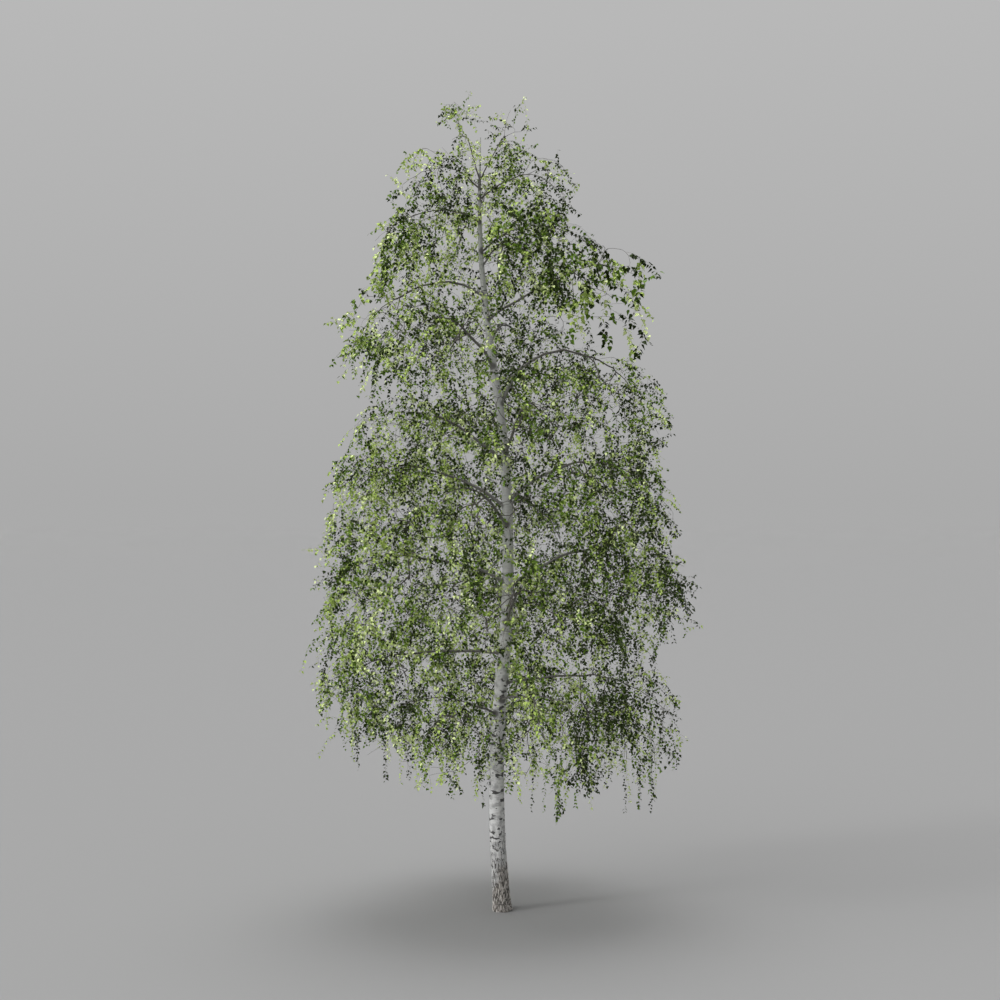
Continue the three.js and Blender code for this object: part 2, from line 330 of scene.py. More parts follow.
def randomDirection(dice):
    turn = dice.uniform(0, 2 * math.pi)
    lift = dice.uniform(-1, 1)
    flat = math.sqrt(1 - lift * lift)
    return Vector((flat * math.cos(turn), flat * math.sin(turn), lift))


# Some points are turned round the trunk, into the room between a mass and its neighbours.
def swung(name, point, dice):
    if dice.random() > growth["swingShare"] * traitOf(name, "swing"):
        return point
    middle = trunkAt(point.z)
    turn = Matrix.Rotation(dice.uniform(-1, 1) * growth["swing"], 3, "Z")
    return middle + turn @ (point - middle)


# Points that the stems of a mass grow to: spread out evenly in its upper part.
def stemTips(name, base, dice):
    volume = masses[name]["volume"]
    wanted = max(growth["fewestTips"], round(volume * growth["tips"]))
    found = []
    spacing = growth["tipSpacing"] * (volume / wanted) ** (1 / 3)
    tries = 0
    while len(found) < wanted and tries < growth["tipTries"] * wanted:
        tries += 1
        point = randomPlace(name, dice)
        above = roomAlong(name, point, upward)
        if above < growth["inset"]:
            continue
        below = roomAlong(name, point, downward)
        if above > growth["upperShare"] * (above + below):
            continue
        if gapTo(name, point) < growth["inset"]:
            continue
        point = swung(name, point, dice)
        if any((point - other).length < spacing for other in found):
            continue
        found.append(point)
    out = (base - trunkAt(base.z)).normalized()
    found.sort(key=lambda point: (point - base).length)
    leader = max(found, key=lambda point: (point - base).dot(out))
    found.remove(leader)
    return [leader] + found


# A stem's points from its fork to its tip: first along its parent's way, then over and out.
def bentStem(start, heading, tip, dice):
    run = tip - start
    way = (heading + run.normalized() * growth["stemTurn"]).normalized()
    knee = start + way * (growth["stemKnee"] * run.length) + upward * (growth["stemLift"] * run.length)
    stray = growth["stemStray"] * growth["stemStep"]
    steps = max(2, round(run.length / growth["stemStep"]))
    points = []
    for i in range(1, steps + 1):
        share = i / steps
        point = start.lerp(knee, share).lerp(knee.lerp(tip, share), share)
        points.append(point + randomDirection(dice) * (stray * (i < steps)))
    return points


# Joins each tip to the wood that suits it best, and thickens the wood by what it carries.
def growStems(name, dice):
    bough = boughs[name]
    base = bough["points"][-1]
    places = [base]
    headings = [(bough["points"][-1] - bough["points"][-2]).normalized()]
    parents = [-1]
    stems = []
    for tip in stemTips(name, base, dice):
        offsets = np.array(tip) - np.array(places)
        lengths = np.linalg.norm(offsets, axis=1) + 1e-6
        turns = 1 - np.einsum("ij,ij->i", offsets, np.array(headings)) / lengths
        fork = int(np.argmin(lengths * (1 + growth["turnCost"] * turns)))
        ids = [fork]
        for point in bentStem(places[fork], headings[fork], tip, dice):
            headings.append((point - places[ids[-1]]).normalized())
            parents.append(ids[-1])
            ids.append(len(places))
            places.append(point)
        stems.append(ids)
    carried = [0] * len(places)
    for ids in stems:
        at = ids[-1]
        while at >= 0:
            carried[at] += 1
            at = parents[at]
    baseRadius = bough["radii"][-1]
    power = math.log(carried[0]) / math.log(baseRadius / growth["stemTipRadius"])
    radii = [growth["stemTipRadius"] * count ** (1 / power) for count in carried]
    return [
        {
            "points": [places[i] for i in ids],
            "radii": [radii[ids[1]]] + [radii[i] for i in ids[1:]],
            "headings": [headings[i] for i in ids],
        }
        for ids in stems
    ]


# A twig's points: off its stem to the place it is to fill, if any, and then down, until its
# length or its mass runs out.
def hangTwig(start, heading, length, name, dice, aim=None, free=False):
    points = [start]
    way = heading.normalized()
    grown = 0
    while grown < length:
        step = min(growth["twigStep"], length - grown + growth["leastStep"])
        pull = downward * traitOf(name, "gravity")
        if aim is not None:
            pull = (aim - points[-1]).normalized() * growth["steer"]
            if (aim - points[-1]).length < growth["twigStep"]:
                aim = None
        way = (way + pull + randomDirection(dice) * growth["wobble"]).normalized()
        spot = points[-1] + way * step
        if len(points) > 1 and isBeyond(spot):
            break
        points.append(spot)
        grown += step
        if not free and isPast(name, spot):
            break
    return points


# Whether a point is further out than any solid of the tree.
def isBeyond(point):
    return any(value < low or value > high for value, low, high in zip(point, *cadBox))


def isInside(name, point):
    return roomAlong(name, point, upward) > 0


# Whether a point is too far out of its mass, to the side or below.
def isPast(name, point):
    place, normal, _, distance = masses[name]["surface"].ray_cast(point, upward)
    if place is None:
        return gapTo(name, point) > growth["overhang"]
    return normal.z < 0 and distance > traitOf(name, "dangle")


# A twig and the side shoots along it.
def growSpray(start, heading, length, name, dice, aim=None, free=False):
    twig = hangTwig(start, heading, length, name, dice, aim, free)
    lines = [twig]
    for _ in range(dice.choice(growth["shoots"])):
        fork = dice.randrange(1, len(twig))
        way = (twig[fork] - twig[fork - 1]).normalized() * growth["shootOnward"] + randomDirection(dice)
        shoot = length * dice.uniform(*growth["shootShare"])
        lines.append(hangTwig(twig[fork], way, shoot, name, dice, free=free))
    return lines


crowd = {}


def cellOf(point):
    return tuple(math.floor(value / growth["cell"]) for value in point)


# How much leaf gathers at a place.
def gathering(name, point):
    curtain = traitOf(name, "curtain")
    spread = Vector((curtain, curtain, 1 / curtain)) * growth["clumpScale"]
    place = Vector([a * b for a, b in zip(point, spread)]) + Vector(growth["clumpFrom"])
    return growth["clumps"] * curtain * noise.noise(place)


tintAndPaintedLightStyle = {
    "base": 0.465,
    "side": 0.13,  # painted light and shade: lighter by this at the left edge of the crown, where the lamps stand, and darker at the right
    "paintedSideLightReach": 2.8,
    "patch": 0.22,  # drift from patch to patch, from a broad noise and a finer one
    "broadScale": 1.3,
    "fineScale": 3.1,
    "fineFrom": (7, 0, 0),
    "fineShare": 0.6,
    # painted shade: darker by this inside the clumps, and lighter between them
    "clump": 0.5,
    "scatter": 0.3,  # from spray to spray
    "limits": (("deep", 0.34), ("mid", 0.56), ("light", 0.84)),  # the lightest of each tint
}


# Leaf is darker inside the clumps as painted shade, lighter between them and on the lit left side
# of the tree as painted light, and lighter and more yellow green on some boughs.
def tintWithPaintedLightOf(name, point, dice):
    t = tintAndPaintedLightStyle
    side = -point.x / t["paintedSideLightReach"]
    fine = noise.noise(point * t["fineScale"] + Vector(t["fineFrom"]))
    patch = noise.noise(point * t["broadScale"]) + t["fineShare"] * fine
    clump = gathering(name, point) / growth["clumps"]
    light = t["base"] + t["side"] * side + t["patch"] * patch - t["clump"] * clump
    light = light + traitOf(name, "fresh") + dice.gauss(0, t["scatter"])
    for tint, limit in t["limits"]:
        if light < limit:
            return tint
    return "fresh"


# The least crowded of a few random places in a mass, and rather where leaf gathers.
def openPlace(name, dice):
    found = []
    while len(found) < growth["picks"]:
        point = randomPlace(name, dice)
        if roomAlong(name, point, upward) < traitOf(name, "rim"):
            continue
        # some of the lowest places are left out, and some are moved below the hem
        room = roomAlong(name, point, downward)
        if room < growth["hemDepth"]:
            if dice.random() > traitOf(name, "hem"):
                continue
            if dice.random() < growth["belowHem"]:
                point.z -= room + dice.uniform(0, traitOf(name, "dangle"))
        elif gapTo(name, point) < traitOf(name, "rim"):
            continue
        found.append(swung(name, point, dice))
    return min(found, key=lambda point: crowd.get(cellOf(point), 0) - gathering(name, point))


# How far a spray stands in the thin place in front of the trunk: 1 right in front, 0 outside.
def clearness(lines):
    most = 0
    for line in lines:
        offset = line[-1] - trunkAt(line[-1].z)
        if offset.y < 0:
            width = growth["clearLeft"] if offset.x < 0 else growth["clearRight"]
            taper = (growth["clearTop"] - line[-1].z) / growth["clearFade"]
            width *= min(1, max(growth["clearLeast"], taper))
            most = max(most, 1 - abs(offset.x) / width)
    return most * growth["clearing"]


def addSpray(lines, name, leaf, dice, tints=None):
    for line in lines:
        for spot in line:
            cell = cellOf(spot)
            crowd[cell] = crowd.get(cell, 0) + 1
        tint = dice.choice(tints) if tints else tintWithPaintedLightOf(name, line[-1], dice)
        sprays.append({"line": line, "tint": tint, "leaf": leaf})


# Fills a mass with sprays, each from the stem that best reaches its place.
def growFoliage(name, stems, dice):
    # seats are all along the stems, but for the first third of the leader
    seats = []
    for number, stem in enumerate(stems):
        for i in range(1, len(stem["points"])):
            if number > 0 or i > len(stem["points"]) // 3:
                seats.append((stem["points"][i], stem["headings"][i]))
    tree = KDTree(len(seats))
    for i, (point, _) in enumerate(seats):
        tree.insert(point, i)
    tree.balance()
    for _ in range(round(masses[name]["volume"] * growth["sprays"] * traitOf(name, "full"))):
        aim = openPlace(name, dice)
        near = tree.find_n(aim + upward * growth["seatLift"], growth["seats"])
        start, heading = seats[dice.choice(near)[1]]
        run = aim - start
        way = run.normalized() + heading * growth["onward"] + upward * growth["rise"]
        way = way + randomDirection(dice) * growth["stray"]
        further = dice.uniform(*growth["beyond"]) * traitOf(name, "hang")
        length = min(run.length, growth["reach"]) + further
        outside = gapTo(name, aim) > growth["overhang"] and not isInside(name, aim)
        lines = growSpray(start, way, length, name, dice, aim, free=outside)
        if dice.random() > clearness(lines):
            addSpray(lines, name, traitOf(name, "leaf"), dice)


dice = random.Random(growth["seed"])
limbs = {}
sprays = []
for name in limbNames:
    limbs[name] = growStems(name, dice)
    growFoliage(name, limbs[name], dice)
print("crown grown:", sum(len(stems) for stems in limbs.values()), "stems,", len(sprays), "sprays")


# Sprays on the bare stretches of the boughs and on the trunk

sprayStyle = {
    "spacing": 0.11,  # along a bough
    "length": (0.12, 0.42),
    "onward": 0.5,  # how much of the bough's way they keep
    "rise": 0.6,
    "clearLimit": 0.3,  # none stand deeper in the thin place than this
    "leaf": 1.0,  # size of their leaves
    "bareBough": "arm_right",
    "bareSpacing": 0.05,
    "bareLength": (0.15, 0.6),
    "strands": 14,  # on each of the lowest limbs
    "strandEnd": 1.45,  # height that none of them passes
    "strandLift": 0.2,  # and how much higher that is for each metre in front of the trunk
    "strandShortest": 0.2,
    "strandStray": 0.3,
    "strandLeaf": 0.85,
    "trunkHeights": (1.98, 2.15, 3.1, 3.5, 3.8, 4.1, 4.4, 4.6, 4.75, 5.2, 5.5, 6.5, 6.75, 8.9,
                     9.05, 9.6, 9.95, 10.1, 10.3, 10.6, 10.9, 11.05, 11.2),
    "trunkSprays": 4,  # at each of these heights
    "trunkShift": 0.12,  # up or down from it
    "trunkTurn": (-math.pi / 2, 1.3),  # the way they face, to the front, and how far they stray
    "trunkRise": 0.5,
    "trunkLength": (0.18, 0.4),
    "trunkLimb": "crown_left",  # the limb whose character they share
    "trunkLeaf": 0.95,
    # painted light: the sprays on the trunk take only the light tints, for leaves lit through from
    # behind
    "trunkPaintedBacklightTints": ("light", "fresh"),
}
bareTwigs = []


# Twigs along a bough, from where it leaves the trunk to where its mass begins.
def sprayBough(name, dice):
    s = sprayStyle
    points = boughs[name]["points"]
    bare = name == s["bareBough"]
    for a, b in zip(points[4:-1], points[5:]):  # the first four points are inside the trunk
        spacing = s["bareSpacing" if bare else "spacing"]
        for _ in range(math.floor((b - a).length / spacing + dice.random())):
            start = a.lerp(b, dice.random())
            way = (b - a).normalized() * s["onward"] + randomDirection(dice)
            way.z = abs(way.z) * s["rise"]
            if bare:
                length = dice.uniform(*s["bareLength"])
                bareTwigs.append(hangTwig(start, way, length, name, dice, free=True))
                continue
            lines = growSpray(start, way, dice.uniform(*s["length"]), name, dice, free=True)
            if clearness(lines) < s["clearLimit"]:
                addSpray(lines, name, s["leaf"], dice)


# Long strands that hang straight down from the hem of the lowest masses.
def hangStrands(name, dice):
    s = sprayStyle
    ends = [stem["points"][-1] for stem in limbs[name]]
    for start in dice.sample(ends, min(len(ends), s["strands"])):
        way = randomDirection(dice) * s["strandStray"] + downward
        room = roomAlong(name, start, downward)
        end = s["strandEnd"] + s["strandLift"] * max(0, -start.y)
        length = min(room + dice.random() * traitOf(name, "strand"), start.z - end)
        aim = start + downward * 2 * length
        strand = hangTwig(start, way, max(s["strandShortest"], length), name, dice, aim, free=True)
        addSpray([strand], name, s["strandLeaf"], dice)


def sprayTrunk(dice):
    s = sprayStyle
    for height in s["trunkHeights"]:
        for _ in range(s["trunkSprays"]):
            turn = dice.gauss(*s["trunkTurn"])
            way = Vector((math.cos(turn), math.sin(turn), s["trunkRise"]))
            start = trunkAt(height + dice.uniform(-s["trunkShift"], s["trunkShift"]))
            length = dice.uniform(*s["trunkLength"])
            lines = growSpray(start, way, length, s["trunkLimb"], dice, free=True)
            addSpray(lines, s["trunkLimb"], s["trunkLeaf"], dice, s["trunkPaintedBacklightTints"])


for name in limbNames:
    sprayBough(name, dice)
    if name.startswith("skirt"):
        hangStrands(name, dice)
sprayTrunk(dice)
print("sprays added:", len(sprays), "leafy sprays,", len(bareTwigs), "bare twigs")


# Helpers

def newMesh(name, points, edges=(), faces=()):
    mesh = bpy.data.meshes.new(name)
    mesh.from_pydata(points, edges, faces)
    return mesh


def newObject(name, data):
    made = bpy.data.objects.new(name, data)
    bpy.context.scene.collection.objects.link(made)
    return made


# Gives a node its inputs, by name or in order. An input is a value, a node or one of its outputs.
# In order, a map range has value, from, from, to, to.
def feed(node, inputs):
    for key, value in inputs.items() if isinstance(inputs, dict) else enumerate(inputs):
        socket = next(s for i, s in enumerate(node.inputs) if key in (i, s.identifier, s.name))
        if isinstance(value, bpy.types.Node):
            value = value.outputs[0]
        if isinstance(value, bpy.types.NodeSocket):
            node.id_data.links.new(value, socket)
        else:
            socket.default_value = value


# Adds a node with its inputs and settings. Its kind lacks the start of the type's name, and a
# word after it sets what it does or works on.
def addNode(tree, kind, inputs=(), **settings):
    kind, *words = kind.split()
    starts = (tree.bl_idname.removesuffix("Tree"), "ShaderNode", "FunctionNode", "Node")
    node = tree.nodes.new(next(start + kind for start in starts if hasattr(bpy.types, start + kind)))
    choices = [key for key in ("operation", "interpolation_type", "data_type") if hasattr(node, key)]
    for key, value in [*zip(choices, words), *settings.items()]:
        setattr(node, key, value)
    feed(node, inputs)
    return node


# sRGB hex to linear colour
def hexColour(code):
    parts = [int(code[i:i + 2], 16) / 255 for i in (1, 3, 5)]
    return [p / 12.92 if p <= 0.04045 else ((p + 0.055) / 1.055) ** 2.4 for p in parts] + [1]


# A tree of geometry nodes, a way to add nodes to it, and its named inputs.
def newNodeTree(name, sockets):
    tree = bpy.data.node_groups.new(name, "GeometryNodeTree")
    tree.interface.new_socket("Geometry", in_out="INPUT", socket_type="NodeSocketGeometry")
    for title, kind, value in sockets:
        socket = tree.interface.new_socket(title, in_out="INPUT", socket_type="NodeSocket" + kind)
        if value is not None:
            socket.default_value = value
    tree.interface.new_socket("Geometry", in_out="OUTPUT", socket_type="NodeSocketGeometry")
    given = tree.nodes.new("NodeGroupInput")
    return tree, partial(addNode, tree), {socket.name: socket for socket in given.outputs}


# Ends a tree in real geometry with its material.
def finishTree(add, geometry, material):
    real = add("RealizeInstances", {"Geometry": geometry})
    covered = add("SetMaterial", {"Geometry": real, "Material": material})
    add("GroupOutput", {"Geometry": covered})


# Runs a node tree on a mesh and keeps the result as a plain piece of the tree.
def makePiece(name, mesh, tree, values):
    piece = newObject(name, mesh)
    modifier = piece.modifiers.new("growth", "NODES")
    modifier.node_group = tree
    for item in tree.interface.items_tree:
        if item.in_out == "INPUT" and item.name in values:
            modifier[item.identifier] = values[item.name]
    graph = bpy.context.evaluated_depsgraph_get()
    evaluated = piece.evaluated_get(graph)
    finished = bpy.data.meshes.new_from_object(evaluated, preserve_all_data_layers=True, depsgraph=graph)
    piece.modifiers.remove(modifier)
    piece.data = finished
    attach(piece, "root")
    finished.calc_loop_triangles()
    print(name, len(finished.loop_triangles), "triangles")
    return piece


# Lines as a mesh of loose edges, with a value for each point of each line.
def linesMesh(name, lines, **values):
    points = [point for line in lines for point in line]
    edges = []
    start = 0
    for line in lines:
        edges += [(i, i + 1) for i in range(start, start + len(line) - 1)]
        start += len(line)
    mesh = newMesh(name, points, edges)
    for title, rows in values.items():
        attribute = mesh.attributes.new(title, "FLOAT", "POINT")
        attribute.data.foreach_set("value", [value for row in rows for value in row])
    return mesh


# Finishes

# A material, a way to add nodes to it, and its Principled shader.
def newMaterial(name, inputs):
    material = bpy.data.materials.new(name)
    material.use_nodes = True
    shader = material.node_tree.nodes["Principled BSDF"]
    feed(shader, inputs)
    return material, partial(addNode, material.node_tree), shader


# Leaf: a waxed, satin blade, so that light catches the ones that face it.
leafFinish = {"Roughness": 0.45, "IOR": 1.42, "Specular IOR Level": 0.12}
# The tints are the leaf's own greens and also carry painted light and shade as they are dealt out: deep
# in part for leaf in shade, light and fresh in part for lit leaf.
leafTints = {  # colour and slot of each
    "deep": ("#26350a", "leaf_deep"),
    "mid": ("#57741e", "leaf_mid"),
    "light": ("#a9c063", "foliage"),
    "fresh": ("#d6e4a0", "leaf_fresh"),
}

# Twig: thin dark skin with a slight gloss.
twigFinish = {"Roughness": 0.6, "IOR": 1.45, "Base Color": hexColour("#69654f")}


def leafMaterial(tint):
    colour = hexColour(leafTints[tint][0])
    return newMaterial("birchLeaf" + tint.capitalize(), {**leafFinish, "Base Color": colour})[0]


# Leaves

leafStyle = {
    "seed": 3,
    "length": 0.047,  # blade, without its stalk
    "halfWidth": 0.38,  # shares of the blade's length from here on
    "stalk": 0.27,
    "stalkWidth": 0.02,
    "fold": 0.10,
    "curl": 0.08,
    "outline": ((0.7, 0.05), (1, 0.30), (0.42, 0.66)),  # share of half the width, and how far along
    "clusters": (1, 1, 2, 2),  # leaves on one spur
    "clusterTurn": 0.5,  # radians, as the next three are
    "tilt": (0.15, 1.35),
    "roll": 0.7,
    "lean": 0.35,  # of a whole spur
    "sizes": (0.82, 1.15),
    "spurSizes": (0.8, 1.18),
    "bareFoot": 0.06,  # length of twig without leaves
    "triangles": 7,
}


# One leaf along +Y from the origin: a stalk, and two folded halves that taper to a long point.
def leafShape():
    s = leafStyle
    half = [(s["halfWidth"] * share, along) for share, along in s["outline"]]
    middle = [(0, s["stalk"], 0), (0, 1 + s["stalk"], -s["curl"])]
    left = [(-x, y + s["stalk"], s["fold"] * x / s["halfWidth"] - s["curl"] * y) for x, y in half]
    right = [(-x, y, z) for x, y, z in left]
    stalk = [(-s["stalkWidth"], 0, 0), (s["stalkWidth"], 0, 0)]
    points = middle + left + [right[2], right[1], right[0]] + stalk
    faces = [(0, 1, 4), (0, 4, 3), (0, 3, 2), (0, 5, 1), (0, 6, 5), (0, 7, 6), (8, 9, 0)]
    return [Vector(p) * s["length"] for p in points], faces


# A spur with its leaves, turned about it and hanging from it.
def leafCluster(number, count, dice):
    s = leafStyle
    shape, faces = leafShape()
    points = []
    corners = []
    for i in range(count):
        turn = 2 * math.pi * i / count + dice.uniform(-s["clusterTurn"], s["clusterTurn"])
        tilt = -dice.uniform(*s["tilt"])
        roll = dice.uniform(-s["roll"], s["roll"])
        size = dice.uniform(*s["sizes"])
        pose = Matrix.Rotation(turn, 3, "Z") @ Matrix.Rotation(tilt, 3, "X")
        pose = pose @ Matrix.Rotation(roll, 3, "Y")
        corners += [tuple(c + len(points) for c in face) for face in faces]
        points += [pose @ (p * size) for p in shape]
    return newObject(f"spur{number}", newMesh("spur", points, faces=corners))


# Leaf spurs along every twig, turned at random about it.
def leafTree(templates):
    smallest, largest = leafStyle["spurSizes"]
    tree, add, given = newNodeTree("leafSprays", [
        ("Spacing", "Float", growth["leafSpacing"]),
        ("Smallest", "Float", smallest),
        ("Largest", "Float", largest),
        ("Bare Foot", "Float", leafStyle["bareFoot"]),
        ("Seed", "Int", leafStyle["seed"]),
        ("Leaf", "Material", None),
    ])
    line = add("MeshToCurve", {"Mesh": given["Geometry"]})
    line = add("ResampleCurve", {"Curve": line, "Length": given["Spacing"]}, mode="LENGTH")
    spurs = add("JoinGeometry")
    for template in templates:
        spur = add("ObjectInfo", {"Object": template, "As Instance": True})
        tree.links.new(spur.outputs["Geometry"], spurs.inputs[0])
    along = add("SplineParameter")
    leafy = add("Math GREATER_THAN", (along.outputs["Length"], given["Bare Foot"]))
    pick = add("RandomValue INT", {"Max_002": len(templates) - 1, "Seed": given["Seed"]})
    lean = leafStyle["lean"]
    lean = add("RandomValue FLOAT_VECTOR", {
        "Min": (-lean, -lean, 0), "Max": (lean, lean, 2 * math.pi), "Seed": given["Seed"],
    })
    turn = add("EulerToRotation", {"Euler": lean})
    vary = add("RandomValue", {
        "Min_001": given["Smallest"], "Max_001": given["Largest"], "Seed": given["Seed"],
    })
    size = add("InputNamedAttribute FLOAT", {"Name": "leaf"})
    scale = add("Math MULTIPLY", (vary.outputs[1], size))
    leaves = add("InstanceOnPoints", {
        "Points": line, "Selection": leafy, "Instance": spurs, "Pick Instance": True,
        "Instance Index": pick.outputs[2], "Rotation": turn, "Scale": scale,
    })
    finishTree(add, leaves, given["Leaf"])
    return tree


# Skin

# A tube round every line, as thick as its points say.
def addTube(add, geometry, sides):
    line = add("MeshToCurve", {"Mesh": geometry})
    line = add("CurveSplineType", {"Curve": line}, spline_type="POLY")
    thickness = add("InputNamedAttribute FLOAT", {"Name": "thickness"})
    ring = add("CurvePrimitiveCircle", {"Resolution": sides, "Radius": 1})
    return add("CurveToMesh", {
        "Curve": line, "Profile Curve": ring, "Scale": thickness, "Fill Caps": True,
    })


def tubeTree():
    sides = ("Sides", "Int", pieceStyle["twigSides"])
    tree, add, given = newNodeTree("twigSkin", [sides, ("Skin", "Material", None)])
    finishTree(add, addTube(add, given["Geometry"], given["Sides"]), given["Skin"])
    return tree


# Bark

barkStyle = {
    "ripple": 0.02,  # how far the cracks stray from straight
    "rippleScale": 17,
    "roughTop": 1.42,  # height at which the cracks have run out
    "roughFoot": 0.6,  # and below which they are everywhere
    "greyTop": 0.77,  # the same for the grey brown of the plates between them
    "greyFoot": 0.42,
    "uneven": 0.9,  # how far these heights wander up and down
    "unevenScale": 4.5,
    "roughTilt": 1.6,  # how much higher the cracks reach on the right
    "crack": 0.2,  # half its width, as a share of a plate's
    "plateWidth": 0.021,
    "plateStretch": 0.14,
    "plateRound": 0.35,  # how far in from its edge a plate rises
    "plateSpan": (-0.6, 0.4),  # lowest and highest, as shares of the relief
    "scarScale": (9, 9, 18),
    "scarSpan": (2.2, 4.5),  # heights between which scars grow few
    "scarLimit": (0.565, 0.67),  # of the noise that makes a scar, at those heights
    "scarLoss": 0.1,  # how much less of it there is where the bark is cracked
    "scarEdge": 0.025,
    "scarRelief": 0.25,
    "relief": 0.009,  # from the floor of a crack to the top of a plate
    "lobes": 0.009,  # swelling over each root, at the ground
    "lobeCount": 5,
    "lobeFade": 0.2,
    "knot": 0.085,  # reach of the dark collar round a bough
    "knotCore": 0.3,  # share of it that is darkest
}


# Where the trunk's bark is cracked, grey and scarred, for both its shape and its colour.
def barkMasks(add, place):
    b = barkStyle
    ripple = add("TexNoise", {"Vector": place, "Scale": b["rippleScale"], "Detail": 2})
    stray = add("VectorMath SUBTRACT", (ripple.outputs["Color"], (0.5, 0.5, 0.5)))
    moved = add("VectorMath MULTIPLY_ADD", (stray, (b["ripple"],) * 3, place))
    along = add("SeparateXYZ", (place,))
    height = along.outputs["Z"]
    tilted = add("Math MULTIPLY_ADD", (along.outputs["X"], -b["roughTilt"], height))
    broad = add("TexNoise", {"Vector": place, "Scale": b["unevenScale"], "Detail": 1})
    uneven = add("Math MULTIPLY_ADD", (broad, b["uneven"], tilted))
    shift = b["uneven"] / 2
    rough, grey = [
        add("MapRange", (uneven, b[kind + "Foot"] + shift, b[kind + "Top"] + shift, 1, 0))
        for kind in ("rough", "grey")
    ]
    width, stretch = b["plateWidth"], b["plateStretch"]
    plates = add("VectorMath MULTIPLY", (moved, (1 / width, 1 / width, stretch / width)))
    edge = add("TexVoronoi", {"Vector": plates, "Scale": 1}, feature="DISTANCE_TO_EDGE")
    reach = add("Math MULTIPLY", (rough, b["crack"]))
    crack = add("MapRange", (edge, reach, 0, 0, 1))
    marks = add("VectorMath MULTIPLY", (place, b["scarScale"]))
    blots = add("TexNoise", {"Vector": marks, "Scale": 1, "Detail": 2})
    limit = add("MapRange", (height, *b["scarSpan"], *b["scarLimit"]))
    over = add("Math SUBTRACT", (blots, limit))
    over = add("Math MULTIPLY_ADD", (rough, -b["scarLoss"], over))
    scar = add("MapRange", (over, 0, b["scarEdge"]))
    return {"height": height, "rough": rough, "grey": grey, "edge": edge, "crack": crack, "scar": scar}


# The trunk's skin: a tube with lobes at its foot, plates between cracks and collars at boughs.
def trunkTree(knots):
    b = barkStyle
    tree, add, given = newNodeTree("birchTrunk", [
        ("Sides", "Int", trunkStyle["sides"]),
        ("Relief", "Float", b["relief"]),
        ("Lobes", "Float", b["lobes"]),
        ("Skin", "Material", None),
    ])
    tube = addTube(add, given["Geometry"], given["Sides"])
    place = add("InputPosition")
    marked = add("StoreNamedAttribute FLOAT_VECTOR", {
        "Geometry": tube, "Name": "barkPlace", "Value": place,
    })
    roots = add("ObjectInfo", {"Object": knots})
    near = add("Proximity", {"Target": roots.outputs["Geometry"]}, target_element="POINTS")
    collar = add("MapRange", (near.outputs["Distance"], b["knot"], b["knotCore"] * b["knot"]))
    marked = add("StoreNamedAttribute FLOAT", {"Geometry": marked, "Name": "collar", "Value": collar})
    masks = barkMasks(add, place)
    plate = add("MapRange SMOOTHSTEP", (masks["edge"], 0, b["plateRound"], *b["plateSpan"]))
    plate = add("Math MULTIPLY", (plate, masks["rough"]))
    plate = add("Math MULTIPLY_ADD", (masks["scar"], b["scarRelief"], plate))
    plate = add("Math MULTIPLY", (plate, given["Relief"]))
    along = add("SeparateXYZ", (place,))
    turn = add("Math ARCTAN2", (along.outputs["Y"], along.outputs["X"]))
    turn = add("Math MULTIPLY", (turn, b["lobeCount"]))
    wave = add("Math COSINE", (turn,))
    fade = add("Math MULTIPLY", (along.outputs["Z"], -1 / b["lobeFade"]))
    fade = add("Math EXPONENT", (fade,))
    lobe = add("Math MULTIPLY", (wave, fade))
    raised = add("Math MULTIPLY_ADD", (lobe, given["Lobes"], plate))
    # points move level and outward only, and none ends below the ground
    normal = add("InputNormal")
    out = add("VectorMath MULTIPLY", (normal, (1, 1, 0)))
    offset = add("VectorMath SCALE", {0: out, "Scale": raised})
    shaped = add("SetPosition", {"Geometry": marked, "Offset": offset})
    place = add("InputPosition")
    level = add("VectorMath MAXIMUM", (place, (-9, -9, 0)))
    flat = add("SetPosition", {"Geometry": shaped, "Position": level})
    finishTree(add, flat, given["Skin"])
    return tree


# Lays colours over a first one, each where its mask rises from one value to another.
def layered(add, colour, layers):
    colour = hexColour(colour)
    for mask, low, high, cover, over in layers:
        share = add("MapRange SMOOTHSTEP", (mask, low, high, 0, cover))
        over = hexColour(over) if isinstance(over, str) else over
        mix = add("Mix RGBA", {"Factor_Float": share, "A_Color": colour, "B_Color": over})
        colour = mix.outputs[2]
    return colour


# Paper bark: white with grey clouds, greyer higher up, partly painted shade from the crown, and dark
# scars, over a foot of grey brown plates and black cracks. A layer has the values between which it
# comes in, its cover and its colour.
paperBark = {
    "colour": "#d2d2d1",
    "cloud": (0.42, 0.68, 1, "#a2a2a2"),
    "cloudScale": 14,
    # greyer higher up: partly the bark's own grey, partly painted shade from the crown above
    "height": (2.3, 7, 1, "#b0b1af"),
    "dashes": (0.6, 0.72, 0.55, "#77736e"),
    "dashScale": (9, 9, 150),
    "plates": "#cdc8c2",
    "streaks": (0.38, 0.62, 1, "#6e6862"),
    "streakScale": (75, 75, 15),
    "crack": (0, 1, 1, "#35322e"),
    "scar": (0, 1, 1, "#464544"),
    "collar": (0.1, 0.7, 0.85, "#45423f"),
    "grainScale": 60,
    "bump": {"Strength": 0.35, "Distance": 0.004},
}


